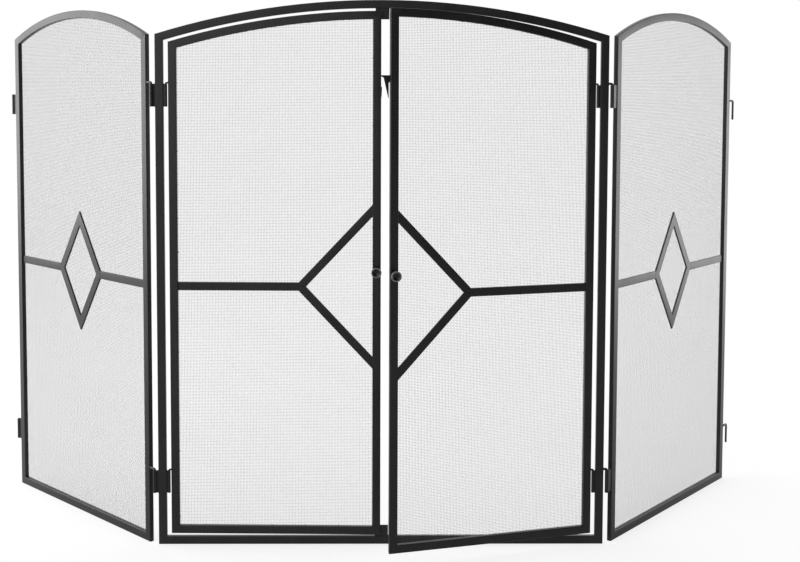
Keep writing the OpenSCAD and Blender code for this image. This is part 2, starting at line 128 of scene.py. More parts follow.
class GateSizes(bpy.types.PropertyGroup):
    """Sizes of what is finer than the solids"""
    pitch: FloatProperty(name="Mesh Pitch", description="Distance between neighbouring wires of the mesh",
                         default=0.0022, min=0.0018, max=0.008, subtype="DISTANCE", unit="LENGTH")
    wire: FloatProperty(name="Mesh Wire", description="Thickness of the wires of the woven mesh",
                        default=0.0003, min=0.0002, max=0.001, subtype="DISTANCE", unit="LENGTH")
    edge: FloatProperty(name="Bar Edge", description="Softened edge of the flat bars and plates",
                        default=0.0004, min=0.0001, max=0.0008, subtype="DISTANCE", unit="LENGTH")
    bead: FloatProperty(name="Weld Bead", description="Radius of a weld bead under its coating",
                        default=0.0007, min=0.0003, max=0.0012, subtype="DISTANCE", unit="LENGTH")
    bead_step: FloatProperty(name="Weld Ripple", description="Distance between the ripples of a weld bead",
                             default=0.0008, min=0.0004, max=0.002, subtype="DISTANCE", unit="LENGTH")
    spot_step: FloatProperty(name="Spot Weld Step",
                             description="Distance between the spot welds that hold the mesh",
                             default=0.048, min=0.02, max=0.1, subtype="DISTANCE", unit="LENGTH")
    seed: IntProperty(name="Weld Seed", description="Seed of the unevenness of the welds", default=7, min=0)


class GateFinish(bpy.types.PropertyGroup):
    """Colours and gloss of the finishes"""
    coat: FloatVectorProperty(name="Coat Colour",
                              description="Satin black powder coat of tubes, bars and hinges",
                              subtype="COLOR", size=3, min=0, max=1, default=(0.012, 0.0123, 0.0128))
    coat_roughness: FloatProperty(name="Coat Roughness", description="Roughness of the powder coat",
                                  default=0.34, min=0, max=1, subtype="FACTOR")
    wire_colour: FloatVectorProperty(name="Wire Colour", description="Coat of the woven wires",
                                     subtype="COLOR", size=3, min=0, max=1, default=(0.024, 0.024, 0.025))
    knob_colour: FloatVectorProperty(name="Knob Colour", description="Semi-gloss black of the two knobs",
                                     subtype="COLOR", size=3, min=0, max=1, default=(0.014, 0.014, 0.0145))
    screw_colour: FloatVectorProperty(name="Screw Colour",
                                      description="Zinc plated steel of the knob screws",
                                      subtype="COLOR", size=3, min=0, max=1, default=(0.45, 0.45, 0.46))


class GateStudio(bpy.types.PropertyGroup):
    """Floor and light of the studio"""
    floor: FloatVectorProperty(name="Floor Colour", description="Pale floor", subtype="COLOR", size=3,
                               min=0, max=1, default=(0.8, 0.8, 0.8))
    front_left: FloatProperty(name="Front Left Light",
                              description="Level of the surroundings at the front left",
                              default=1.25, min=0, max=2)
    front_right: FloatProperty(name="Front Right Light",
                               description="Level of the surroundings at the front right",
                               default=0.02, min=0, max=2)
    back: FloatProperty(name="Back Light", description="Level of the surroundings behind the gate",
                        default=1.0, min=0, max=2)
    left_panel: FloatProperty(name="Left Light Panel", description="Power of the soft light at the left",
                              default=25.0, min=0, max=100, subtype="POWER", unit="POWER")
    right_panel: FloatProperty(name="Right Light Panel", description="Power of the soft light at the right",
                               default=9.5, min=0, max=100, subtype="POWER", unit="POWER")


# Helpers for meshes

def points_of(mesh):
    """A mesh's points, one row each."""
    co = np.empty(len(mesh.vertices) * 3)
    mesh.vertices.foreach_get("co", co)
    return co.reshape(-1, 3)


def add_piece(name, mesh, body):
    """A finished piece at the origin, which rides on its body."""
    piece = bpy.data.objects.new(name, mesh)
    bpy.context.scene.collection.objects.link(piece)
    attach(piece, body)
    return piece


def evaluated_copy(obj, name):
    """The object's mesh with its modifiers applied, as a plain mesh, and the object removed."""
    bpy.context.view_layer.update()
    graph = bpy.context.evaluated_depsgraph_get()
    mesh = bpy.data.meshes.new_from_object(obj.evaluated_get(graph), preserve_all_data_layers=True,
                                           depsgraph=graph)
    mesh.name = name
    bpy.data.objects.remove(obj)
    return mesh


def finished_piece(name, nodes, body, material, edge=0.0, smooth_deg=40):
    """One piece made from merged copies of CAD nodes, which it stands for, with softened edges and smooth
    rounds."""
    whole = bmesh.new()
    for node in nodes:
        part = bmesh.new()
        part.from_mesh(NODES[node].data)
        bmesh.ops.remove_doubles(part, verts=part.verts, dist=MERGE_WITHIN)
        bmesh.ops.dissolve_limit(part, angle_limit=math.radians(FLAT_WITHIN), verts=part.verts,
                                 edges=part.edges)
        if edge:
            least = math.radians(SOFTEN_OVER)
            sharp = [e for e in part.edges if len(e.link_faces) == 2 and e.calc_face_angle(0) > least]
            bmesh.ops.bevel(part, geom=sharp, offset=edge, segments=2, profile=0.5, affect="EDGES",
                            clamp_overlap=True)
        bmesh.ops.triangulate(part, faces=[f for f in part.faces if len(f.verts) > 4])
        bmesh.ops.recalc_face_normals(part, faces=part.faces)
        held = bpy.data.meshes.new("part")
        part.to_mesh(held)
        part.free()
        whole.from_mesh(held)
        bpy.data.meshes.remove(held)
    for face in whole.faces:
        face.smooth = True
        face.material_index = 0
    mesh = bpy.data.meshes.new(name + "_raw")
    whole.to_mesh(mesh)
    whole.free()
    mesh.materials.clear()
    mesh.materials.append(material)
    mesh.set_sharp_from_angle(angle=math.radians(smooth_deg))
    draft = bpy.data.objects.new(name + "_draft", mesh)
    bpy.context.scene.collection.objects.link(draft)
    weighted = draft.modifiers.new("Weighted Normals", "WEIGHTED_NORMAL")
    weighted.keep_sharp = True
    weighted.mode = "FACE_AREA_WITH_ANGLE"
    piece = add_piece(name, evaluated_copy(draft, name), body)
    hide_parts(*nodes)
    return piece


class PanelFrame:
    """Place and outline of a woven panel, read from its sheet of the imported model.

    s runs along the panel from its low side, t to the back and z up. The arch is a circle in s and z."""

    def __init__(self, panel):
        co = points_of(NODES[panel + "_mesh"].data)
        flat = co[:, :2] - co[:, :2].mean(axis=0)
        along = np.linalg.svd(flat, full_matrices=False)[2][0]
        # Low side: next to the other door, or next to the centre frame
        side = -1 if panel.startswith("left") else 1
        if along[0] * side < 0:
            along = -along
        back = np.array([-along[1], along[0]])
        if back[1] < 0:
            back = -back
        s, t = co[:, :2] @ along, co[:, :2] @ back
        self.along, self.back = along, back
        self.origin = np.array([s.min(), t.min(), co[:, 2].min()])
        self.width, self.thick = float(np.ptp(s)), float(np.ptp(t))
        self.height = float(np.ptp(co[:, 2]))
        # The arch's circle, from the points of the outline's upper half
        ss, zz = s - s.min(), co[:, 2] - co[:, 2].min()
        rim = convex_hull_2d([Vector((float(a), float(b))) for a, b in zip(ss, zz)])
        rim = [i for i in rim if zz[i] > 0.5 * self.height]
        ss, zz = ss[rim], zz[rim]
        m = np.stack([ss, zz, np.ones(len(ss))], axis=1)
        a, b, c = np.linalg.lstsq(m, -(ss ** 2 + zz ** 2), rcond=None)[0]
        self.arch_s, self.arch_z = float(-a / 2), float(-b / 2)
        self.arch_r = float(math.sqrt(self.arch_s ** 2 + self.arch_z ** 2 - c))
        lo = self.origin
        base = along * lo[0] + back * lo[1]
        self.matrix = Matrix((
            (along[0], back[0], 0, base[0]), (along[1], back[1], 0, base[1]),
            (0, 0, 1, lo[2]), (0, 0, 0, 1)))


PANELS = {panel: PanelFrame(panel) for panel in WOVEN_PANELS}


def place_on_panel(mesh, panel):
    """Moves a mesh from the panel's own s, t and z to its place, faces outwards."""
    matrix = PANELS[panel].matrix
    mesh.transform(matrix)
    if matrix.determinant() < 0:
        mesh.flip_normals()


# Helpers for materials

class Shader:
    """A material's nodes on Object coordinates, in metres."""

    def __init__(self, name):
        self.material = bpy.data.materials.new(name)
        self.material.use_nodes = True
        self.tree = self.material.node_tree
        self.tree.nodes.clear()
        self.out = self.add("ShaderNodeOutputMaterial")
        self.main = self.add("ShaderNodeBsdfPrincipled")
        self.link(self.main.outputs["BSDF"], self.out.inputs["Surface"])
        self.place = self.add("ShaderNodeTexCoord").outputs["Object"]

    def add(self, kind, **settings):
        node = self.tree.nodes.new(kind)
        for key, value in settings.items():
            setattr(node, key, value)
        return node

    def link(self, a, b):
        self.tree.links.new(a, b)

    def noise(self, scale, detail=2.0, roughness=0.5, stretch=None):
        """Noise with about scale cells per metre, stretched along an axis if asked."""
        place = self.place
        if stretch:
            mapping = self.add("ShaderNodeMapping")
            self.link(place, mapping.inputs["Vector"])
            mapping.inputs["Scale"].default_value = stretch
            place = mapping.outputs["Vector"]
        node = self.add("ShaderNodeTexNoise")
        self.link(place, node.inputs["Vector"])
        node.inputs["Scale"].default_value = scale
        node.inputs["Detail"].default_value = detail
        node.inputs["Roughness"].default_value = roughness
        return node.outputs["Fac"]

    def span(self, value, low, high, to_low, to_high):
        """Maps low..high of a value to to_low..to_high."""
        node = self.add("ShaderNodeMapRange")
        self.link(value, node.inputs["Value"])
        for key, number in (("From Min", low), ("From Max", high), ("To Min", to_low), ("To Max", to_high)):
            node.inputs[key].default_value = number
        return node.outputs["Result"]

    def share(self, value, low, high):
        """Maps low..high of a value to 0..1."""
        return self.span(value, low, high, 0, 1)

    def blend(self, fac, colour_a, colour_b):
        """Colour a where fac is 0, colour b where it is 1; each is a colour or a socket."""
        node = self.add("ShaderNodeMix", data_type="RGBA")
        self.link(fac, node.inputs["Factor"])
        for socket, colour in ((node.inputs[6], colour_a), (node.inputs[7], colour_b)):
            if isinstance(colour, bpy.types.NodeSocket):
                self.link(colour, socket)
            else:
                socket.default_value = (*colour, 1)
        return node.outputs[2]

    def math(self, operation, a, b):
        node = self.add("ShaderNodeMath", operation=operation)
        for socket, value in zip(node.inputs, (a, b)):
            if isinstance(value, bpy.types.NodeSocket):
                self.link(value, socket)
            else:
                socket.default_value = value
        return node.outputs[0]

    def bump(self, height, depth, below=None):
        """A bump of that depth in metres, over another bump if one is given."""
        node = self.add("ShaderNodeBump")
        node.inputs["Distance"].default_value = depth
        node.inputs["Strength"].default_value = 1.0
        self.link(height, node.inputs["Height"])
        if below is not None:
            self.link(below, node.inputs["Normal"])
        return node.outputs["Normal"]


def lighter(colour, factor):
    return tuple(min(1.0, c * factor) for c in colour)


def powder_coat(name, colour, roughness, peel=1.0):
    """Powder coat: fine orange peel, cloudy tone, a few paler specks, and slightly glossier scuffs."""
    s = Shader(name)
    cloud = s.noise(scale=18, detail=3, roughness=0.55, stretch=(1, 1, 0.35))
    speck = s.noise(scale=1500, detail=1, roughness=0.4)
    scuff = s.noise(scale=70, detail=4, roughness=0.7, stretch=(1, 1, 0.12))
    tone = s.blend(s.share(cloud, 0.35, 0.65), lighter(colour, 0.78), lighter(colour, 1.26))
    tone = s.blend(s.span(speck, 0.66, 0.74, 0, 0.5), tone, lighter(colour, 2.4))
    s.link(tone, s.main.inputs["Base Color"])
    uneven = s.span(cloud, 0.3, 0.7, -0.035, 0.035)
    rough = s.math("ADD", uneven, s.span(scuff, 0.55, 0.75, roughness, roughness - 0.07))
    s.link(rough, s.main.inputs["Roughness"])
    skin = s.bump(s.noise(scale=900, detail=2, roughness=0.45), 0.00002 * peel)
    orange = s.bump(s.noise(scale=260, detail=1, roughness=0.4), 0.00006 * peel, skin)
    s.link(orange, s.main.inputs["Normal"])
    s.main.inputs["IOR"].default_value = 1.55
    return s.material


def wire_coat(name, colour):
    """Thin coat on drawn wire: uneven tone along the wire and a dull shine."""
    s = Shader(name)
    drawn = s.share(s.noise(scale=160, detail=2), 0.35, 0.65)
    s.link(s.blend(drawn, lighter(colour, 0.7), lighter(colour, 1.4)), s.main.inputs["Base Color"])
    s.link(s.span(s.noise(scale=500, detail=2), 0.3, 0.7, 0.42, 0.58), s.main.inputs["Roughness"])
    s.link(s.bump(s.noise(scale=2600, detail=1), 0.000006), s.main.inputs["Normal"])
    return s.material


# Attribute of a knob's points: 1 on its rim, where a paler colour is painted as a highlight, and 0 elsewhere
PAINTED_RIM_HIGHLIGHT = "painted_rim_highlight"


def knob_gloss(name, colour):
    """Semi-gloss black of a turned knob: faint turning rings, fingerprints, and a painted highlight, the rim
    painted paler in patches.
    """
    s = Shader(name)
    prints = s.noise(scale=220, detail=4, roughness=0.6)
    tone = s.blend(s.share(prints, 0.4, 0.7), lighter(colour, 0.7), lighter(colour, 1.3))
    rim = s.add("ShaderNodeAttribute", attribute_name=PAINTED_RIM_HIGHLIGHT).outputs["Fac"]
    patches = s.noise(scale=380, detail=3, roughness=0.6)
    # Painted highlight: the rim's colour is made lighter, in patches, as a ring of light
    painted_highlight = s.math("MULTIPLY", rim, s.span(patches, 0.3, 0.65, 0.45, 1.0))
    s.link(s.blend(painted_highlight, tone, lighter(colour, 14)), s.main.inputs["Base Color"])
    s.link(s.span(prints, 0.35, 0.7, 0.2, 0.34), s.main.inputs["Roughness"])
    rings = s.noise(scale=420, detail=1, stretch=(1, 14, 1))
    s.link(s.bump(rings, 0.00001), s.main.inputs["Normal"])
    s.main.inputs["IOR"].default_value = 1.45
    s.main.inputs["Coat Weight"].default_value = 0.12
    s.main.inputs["Coat Roughness"].default_value = 0.12
    return s.material


def zinc(name, colour):
    """Zinc plate: bright metal with soft crystal patches and fine scratches."""
    s = Shader(name)
    patches = s.add("ShaderNodeTexVoronoi")
    s.link(s.place, patches.inputs["Vector"])
    patches.inputs["Scale"].default_value = 900
    crystals = s.share(patches.outputs["Distance"], 0, 0.7)
    s.link(s.blend(crystals, lighter(colour, 0.85), lighter(colour, 1.25)), s.main.inputs["Base Color"])
    s.main.inputs["Metallic"].default_value = 1.0
    s.link(s.span(s.noise(scale=700, detail=3), 0.3, 0.7, 0.24, 0.4), s.main.inputs["Roughness"])
    scratches = s.noise(scale=1200, detail=2, stretch=(6, 1, 1))
    s.link(s.bump(scratches, 0.000008), s.main.inputs["Normal"])
    return s.material


# Finishes that several pieces share, each made once
MATERIALS = {}


def coat():
    if "coat" not in MATERIALS:
        finish = bpy.context.scene.gate_finish
        MATERIALS["coat"] = powder_coat("Satin black powder coat", tuple(finish.coat),
                                        finish.coat_roughness)
    return MATERIALS["coat"]


def weld_coat():
    if "weld" not in MATERIALS:
        finish = bpy.context.scene.gate_finish
        MATERIALS["weld"] = powder_coat("Powder coat over welds", lighter(tuple(finish.coat), 1.1),
                                        finish.coat_roughness + 0.08, peel=2.0)
    return MATERIALS["weld"]


# Helpers for Geometry Nodes

class Tree:
    """A Geometry Nodes tree with named inputs, built node by node."""

    def __init__(self, name, inputs):
        self.group = bpy.data.node_groups.new(name, "GeometryNodeTree")
        self.group.is_modifier = True
        face = self.group.interface
        face.new_socket("Geometry", in_out="INPUT", socket_type="NodeSocketGeometry")
        self.ids = {}
        for label, kind, value in inputs:
            socket = face.new_socket(label, in_out="INPUT", socket_type="NodeSocket" + kind)
            if value is not None:
                socket.default_value = value
            self.ids[label] = socket.identifier
        face.new_socket("Geometry", in_out="OUTPUT", socket_type="NodeSocketGeometry")
        self.source = self.group.nodes.new("NodeGroupInput")
        self.sink = self.group.nodes.new("NodeGroupOutput")

    def input(self, label):
        return self.source.outputs[label]

    def add(self, kind, sockets=None, **settings):
        """A node with settings, and its inputs set from values or linked from sockets."""
        node = self.group.nodes.new(kind)
        for key, value in settings.items():
            setattr(node, key, value)
        for key, value in (sockets or {}).items():
            if isinstance(value, bpy.types.NodeSocket):
                self.group.links.new(value, node.inputs[key])
            else:
                node.inputs[key].default_value = value
        return node

    def math(self, operation, a, b=0.0):
        return self.add("ShaderNodeMath", {0: a, 1: b}, operation=operation).outputs[0]

    def switch(self, test, if_false, if_true):
        node = self.add("GeometryNodeSwitch", input_type="FLOAT")
        for key, value in ((0, test), (1, if_false), (2, if_true)):
            if isinstance(value, bpy.types.NodeSocket):
                self.group.links.new(value, node.inputs[key])
            else:
                node.inputs[key].default_value = value
        return node.outputs[0]

    def finish(self, geometry, material):
        """Realizes instances, sets the material and ends the tree."""
        real = self.add("GeometryNodeRealizeInstances", {0: geometry})
        done = self.add("GeometryNodeSetMaterial", {"Geometry": real.outputs[0], "Material": material})
        self.group.links.new(done.outputs[0], self.sink.inputs[0])

    def mesh(self, name, values, source=None):
        """The tree's result as a plain mesh, on an empty mesh or on a source mesh."""
        draft = bpy.data.objects.new(name + "_draft", source or bpy.data.meshes.new(name + "_source"))
        bpy.context.scene.collection.objects.link(draft)
        modifier = draft.modifiers.new("Nodes", "NODES")
        modifier.node_group = self.group
        for label, value in values.items():
            modifier[self.ids[label]] = value
        return evaluated_copy(draft, name)


WIRE_INPUTS = [
    ("Width", "Float", 0.3), ("Height", "Float", 0.7), ("Pitch", "Float", 0.002), ("Wire", "Float", 0.0003),
    ("Arch Middle", "Float", 0.15), ("Arch Centre Height", "Float", 0.0), ("Arch Radius", "Float", 0.7),
    ("Material", "Material", None)]


class WireTree(Tree):
    """Wires of a woven panel that run one way, drawn on a grid in s and z and cut to the panel's outline."""

    def __init__(self, name, upright, extra=()):
        super().__init__(name, WIRE_INPUTS + list(extra))
        self.width = self.input("Width")
        self.height = self.input("Height")
        self.wire = self.input("Wire")
        columns = self.math("ROUND", self.math("DIVIDE", self.width, self.input("Pitch")))
        rows = self.math("ROUND", self.math("DIVIDE", self.height, self.input("Pitch")))
        self.step_s = self.math("DIVIDE", self.width, columns)
        self.step_z = self.math("DIVIDE", self.height, rows)
        # Upright wires have a point at each crossing and one past each end. Level wires have only their ends
        if upright:
            sizes = {"Size X": self.math("SUBTRACT", self.width, self.step_s),
                     "Size Y": self.math("ADD", self.height, self.step_z),
                     "Vertices X": columns, "Vertices Y": self.math("ADD", rows, 2.0)}
        else:
            sizes = {"Size X": self.width, "Size Y": self.math("SUBTRACT", self.height, self.step_z),
                     "Vertices X": 2, "Vertices Y": rows}
        grid = self.add("GeometryNodeMeshGrid", sizes)
        ends = self.add("GeometryNodeInputMeshEdgeVertices")
        run = self.add("ShaderNodeVectorMath",
                       {0: ends.outputs["Position 1"], 1: ends.outputs["Position 2"]}, operation="SUBTRACT")
        run = self.add("ShaderNodeSeparateXYZ", {0: run.outputs[0]})
        level = self.math("GREATER_THAN", self.math("ABSOLUTE", run.outputs[0]),
                          self.math("ABSOLUTE", run.outputs[1]))
        cross = level if upright else self.math("SUBTRACT", 1.0, level)
        kept = self.add("GeometryNodeDeleteGeometry", {"Geometry": grid.outputs["Mesh"], "Selection": cross},
                        domain="EDGE", mode="EDGE_FACE")
        self.paths = kept.outputs[0]
        place = self.add("ShaderNodeSeparateXYZ", {0: self.add("GeometryNodeInputPosition").outputs[0]})
        self.s = self.math("ADD", place.outputs[0], self.math("MULTIPLY", self.width, 0.5))
        self.z = self.math("ADD", place.outputs[1], self.math("MULTIPLY", self.height, 0.5))

    def half_chord(self, distance):
        """Half the arch circle's chord at a distance from its centre."""
        square = self.math("SUBTRACT", self.math("POWER", self.input("Arch Radius"), 2.0),
                           self.math("POWER", self.math("ABSOLUTE", distance), 2.0))
        return self.math("SQRT", self.math("MAXIMUM", square, 0.0))

    def cut(self, selection):
        """Takes points out of the wires' paths."""
        kept = self.add("GeometryNodeDeleteGeometry", {"Geometry": self.paths, "Selection": selection},
                        domain="POINT", mode="ALL")
        self.paths = kept.outputs[0]

    def wires(self, s, depth, z):
        """Moves the grid's points and gives the wires their thickness."""
        spot = self.add("ShaderNodeCombineXYZ", {0: s, 1: depth, 2: z})
        placed = self.add("GeometryNodeSetPosition", {"Geometry": self.paths, "Position": spot.outputs[0]})
        paths = self.add("GeometryNodeMeshToCurve", {0: placed.outputs[0]})
        section = self.add("GeometryNodeCurvePrimitiveCircle", {
            "Resolution": 3, "Radius": self.math("MULTIPLY", self.wire, 0.5)})
        solid = self.add("GeometryNodeCurveToMesh", {
            "Curve": paths.outputs[0], "Profile Curve": section.outputs[0], "Fill Caps": True})
        smooth = self.add("GeometryNodeSetShadeSmooth", {"Geometry": solid.outputs[0], "Shade Smooth": True})
        self.finish(smooth.outputs[0], self.input("Material"))


def upright_wires_tree():
    """Upright wires, each in front of and behind the level wires by turns, for one half of the panel's
    width."""
    t = WireTree("Upright Wires", True, [("Far Half", "Bool", False)])
    from_middle = t.math("SUBTRACT", t.s, t.input("Arch Middle"))
    arch_z = t.math("ADD", t.input("Arch Centre Height"), t.half_chord(from_middle))
    far = t.math("GREATER_THAN", t.s, t.math("MULTIPLY", t.width, 0.5))
    other = t.math("COMPARE", far, t.switch(t.input("Far Half"), 1.0, 0.0))
    past = t.math("GREATER_THAN", t.math("SUBTRACT", t.z, arch_z), t.step_z)
    t.cut(t.math("MAXIMUM", past, other))
    column, row = t.math("DIVIDE", t.s, t.step_s), t.math("DIVIDE", t.z, t.step_z)
    crossing = t.math("FLOOR", t.math("ADD", column, row))
    # The 8 keeps the number above zero, also below the panel's lower edge
    odd = t.math("MODULO", t.math("ADD", crossing, 8.0), 2.0)
    side = t.math("SUBTRACT", t.math("MULTIPLY", odd, 2.0), 1.0)
    depth = t.math("MULTIPLY", side, t.math("MULTIPLY", t.wire, WEAVE_DEPTH))
    t.wires(t.s, depth, t.math("MAXIMUM", t.math("MINIMUM", t.z, arch_z), 0.0))
    return t


def level_wires_tree():
    """Level wires, straight from side to side, or from arch to arch."""
    t = WireTree("Level Wires", False)
    from_z = t.math("SUBTRACT", t.z, t.input("Arch Centre Height"))
    half = t.switch(t.math("GREATER_THAN", from_z, 0.0), PAST_ANY_PANEL, t.half_chord(from_z))
    low = t.math("MAXIMUM", t.math("SUBTRACT", t.input("Arch Middle"), half), 0.0)
    high = t.math("MINIMUM", t.math("ADD", t.input("Arch Middle"), half), t.width)
    t.wires(t.math("MINIMUM", t.math("MAXIMUM", t.s, low), high), 0.0, t.z)
    return t


def bead_tree():
    """A bead of overlapping drops, or spaced spots, along the edges of a path."""
    t = Tree("Weld Beads", [
        ("Bead", "Float", 0.0008), ("Step", "Float", 0.0008), ("Unevenness", "Float", 0.12),
        ("Seed", "Int", 1), ("Material", "Material", None)])
    paths = t.add("GeometryNodeMeshToCurve", {0: t.input("Geometry")})
    drops = t.add("GeometryNodeResampleCurve", {"Curve": paths.outputs[0], "Length": t.input("Step")},
                  mode="LENGTH")
    drop = t.add("GeometryNodeMeshUVSphere", {"Segments": 7, "Rings": 5, "Radius": t.input("Bead")})
    size = t.add("FunctionNodeRandomValue", data_type="FLOAT")
    low = t.math("SUBTRACT", 1.0, t.input("Unevenness"))
    high = t.math("ADD", 1.0, t.input("Unevenness"))
    t.group.links.new(low, size.inputs[2])
    t.group.links.new(high, size.inputs[3])
    t.group.links.new(t.input("Seed"), size.inputs["Seed"])
    shape = t.add("ShaderNodeVectorMath", {0: (1.0, 1.0, 0.8)}, operation="SCALE")
    t.group.links.new(size.outputs[1], shape.inputs["Scale"])
    spots = t.add("GeometryNodeInstanceOnPoints", {
        "Points": drops.outputs[0], "Instance": drop.outputs[0], "Scale": shape.outputs[0]})
    smooth = t.add("GeometryNodeSetShadeSmooth", {"Geometry": spots.outputs[0], "Shade Smooth": True})
    t.finish(smooth.outputs[0], t.input("Material"))
    return t


# Stage

class GATE_OT_stage(bpy.types.Operator):
    """Adds the pale floor, the soft studio light and the camera"""
    bl_idname = "gate.stage"
    bl_label = "Stage"

    def execute(self, context):
        studio = context.scene.gate_studio
        self.add_floor(context, studio)
        self.add_surroundings(context, studio)
        self.add_panel(context, "Left light panel", studio.left_panel, *LEFT_PANEL)
        self.add_panel(context, "Right light panel", studio.right_panel, *RIGHT_PANEL)
        self.add_camera(context)
        context.scene.view_settings.view_transform = "Standard"
        return {"FINISHED"}

    def add_floor(self, context, studio):
        mesh = bpy.data.meshes.new("floor")
        corners = [(x * FLOOR_HALF, y * FLOOR_HALF, 0) for x, y in ((-1, -1), (1, -1), (1, 1), (-1, 1))]
        mesh.from_pydata(corners, [], [(0, 1, 2, 3)])
        floor = bpy.data.objects.new("floor", mesh)
        context.scene.collection.objects.link(floor)
        s = Shader("Pale floor")
        s.tree.nodes.remove(s.main)
        cloud = s.share(s.noise(scale=3, detail=3), 0.3, 0.7)
        tone = s.blend(cloud, lighter(tuple(studio.floor), 0.985), tuple(studio.floor))
        lit = s.add("ShaderNodeBsdfDiffuse")
        rays = s.add("ShaderNodeLightPath")
        dim = lighter(tuple(studio.floor), FLOOR_IN_GLOSS)
        s.link(s.blend(rays.outputs["Is Glossy Ray"], tone, dim), lit.inputs["Color"])
        # To the camera the floor is nearly white, with a soft shadow, and in gloss it is so behind the gate
        shade = s.add("ShaderNodeBsdfDiffuse")
        greys = [(grey, grey, grey) for grey in SHADOW_GREYS]
        s.link(s.blend(cloud, *greys), shade.inputs["Color"])
        glow = s.add("ShaderNodeEmission")
        glow.inputs["Color"].default_value = (1, 1, 1, 1)
        away = s.add("ShaderNodeVectorMath", operation="LENGTH")
        s.link(s.place, away.inputs[0])
        strength = s.span(away.outputs["Value"], NEAR_GATE, FAR_FROM_GATE, GLOW_NEAR, GLOW_FAR)
        s.link(strength, glow.inputs["Strength"])
        white = s.add("ShaderNodeAddShader")
        s.link(shade.outputs[0], white.inputs[0])
        s.link(glow.outputs[0], white.inputs[1])
        axes = s.add("ShaderNodeSeparateXYZ")
        s.link(s.place, axes.inputs[0])
        behind = s.share(axes.outputs["Y"], WHITE_FROM, WHITE_TO)
        in_gloss = s.math("MULTIPLY", behind, rays.outputs["Is Glossy Ray"])
        straight = s.math("MAXIMUM", rays.outputs["Is Camera Ray"], rays.outputs["Is Transmission Ray"])
        seen = s.math("MAXIMUM", in_gloss, straight)
        mix = s.add("ShaderNodeMixShader")
        s.link(seen, mix.inputs[0])
        s.link(lit.outputs[0], mix.inputs[1])
        s.link(white.outputs[0], mix.inputs[2])
        s.link(mix.outputs[0], s.out.inputs["Surface"])
        mesh.materials.append(s.material)

    def add_surroundings(self, context, studio):
        """White behind the gate, also in its gloss, dimmer in front of it, and plain white to the camera."""
        world = bpy.data.worlds.new("Studio")
        context.scene.world = world
        world.use_nodes = True
        tree = world.node_tree
        tree.nodes.clear()

        def add(kind, *links):
            node = tree.nodes.new(kind)
            for key, socket in links:
                tree.links.new(socket, node.inputs[key])
            return node

        def span(value, low, high, to_low, to_high):
            node = add("ShaderNodeMapRange", ("Value", value))
            node.interpolation_type = "SMOOTHSTEP"
            limits = {"From Min": low, "From Max": high, "To Min": to_low, "To Max": to_high}
            for key, number in limits.items():
                if isinstance(number, bpy.types.NodeSocket):
                    tree.links.new(number, node.inputs[key])
                else:
                    node.inputs[key].default_value = number
            return node.outputs["Result"]

        direction = tree.nodes.new("ShaderNodeTexCoord")
        axes = add("ShaderNodeSeparateXYZ", (0, direction.outputs["Generated"]))
        # From left to right in front of the gate, then from its front to its back
        front = span(axes.outputs["X"], -0.25, 0.05, studio.front_left, studio.front_right)
        level = span(axes.outputs["Y"], -0.1, 0.3, front, studio.back)
        lit = add("ShaderNodeBackground", ("Strength", level))
        white = add("ShaderNodeBackground")
        for node in (lit, white):
            node.inputs["Color"].default_value = (1, 1, 1, 1)
        rays = tree.nodes.new("ShaderNodeLightPath")
        seen = add("ShaderNodeMath",
                   (0, rays.outputs["Is Camera Ray"]), (1, rays.outputs["Is Transmission Ray"]))
        seen.operation = "MAXIMUM"
        mix = add("ShaderNodeMixShader", (0, seen.outputs[0]), (1, lit.outputs[0]), (2, white.outputs[0]))
        add("ShaderNodeOutputWorld", ("Surface", mix.outputs[0]))

    def add_panel(self, context, name, power, place, width, height):
        data = bpy.data.lights.new(name, "AREA")
        data.shape = "RECTANGLE"
        data.size, data.size_y = width, height
        data.energy = power
        lamp = bpy.data.objects.new(name, data)
        lamp.location = place
        lamp.visible_camera = False
        ahead = Vector(PANELS_FACE) - Vector(place)
        lamp.rotation_euler = ahead.to_track_quat("-Z", "Y").to_euler()
        context.scene.collection.objects.link(lamp)

    def add_camera(self, context):
        data = bpy.data.cameras.new("Camera")
        camera = bpy.data.objects.new("Camera", data)
        context.scene.collection.objects.link(camera)
        context.scene.camera = camera
        yaw, pitch, roll = (math.radians(a) for a in CAMERA_TURN)
        level = math.cos(pitch)
        ahead = Vector((math.sin(yaw) * level, math.cos(yaw) * level, -math.sin(pitch)))
        right = Vector((math.cos(yaw), -math.sin(yaw), 0))
        up = right.cross(ahead)
        x_axis = right * math.cos(roll) + up * math.sin(roll)
        y_axis = up * math.cos(roll) - right * math.sin(roll)
        turn = Matrix((x_axis, y_axis, -ahead)).transposed()
        camera.matrix_world = Matrix.Translation(CAMERA_PLACE) @ turn.to_4x4()
        data.sensor_width = SENSOR_WIDTH
        data.lens = FOCAL_PIXELS / PHOTO_WIDTH * SENSOR_WIDTH
        data.shift_y = CAMERA_SHIFT
        data.clip_start, data.clip_end = 0.05, 60


# Pieces

def names(body, *ends):
    """The body's CAD nodes whose names end with one of the endings."""
    return [n for n in BODIES[body] if any(n == f"{body}_{end}" for end in ends)]


class GATE_OT_tubes(bpy.types.Operator):
    """Makes each panel's mitred tubes, with smooth rounded edges"""
    bl_idname = "gate.tubes"
    bl_label = "Tubes"

    def execute(self, context):
        for body in BODIES:
            tubes = names(body, "left_stile", "right_stile", "hinge_stile", "free_stile", "inner_stile",
                          "outer_stile", "arch_rail", "bottom_rail")
            finished_piece(f"{body}_tubes", tubes, body, coat())
        return {"FINISHED"}


class GATE_OT_bars(bpy.types.Operator):
    """Makes the flat decorative bars of doors and wings, with softened edges"""
    bl_idname = "gate.bars"
    bl_label = "Bars"

    def execute(self, context):
        edge = context.scene.gate_sizes.edge
        for body in WOVEN_PANELS:
            bars = names(body, "cross_bar", "upper_bar", "lower_bar", "inner_arm", "outer_arm", "diamond")
            finished_piece(f"{body}_bars", bars, body, coat(), edge=edge, smooth_deg=50)
        return {"FINISHED"}


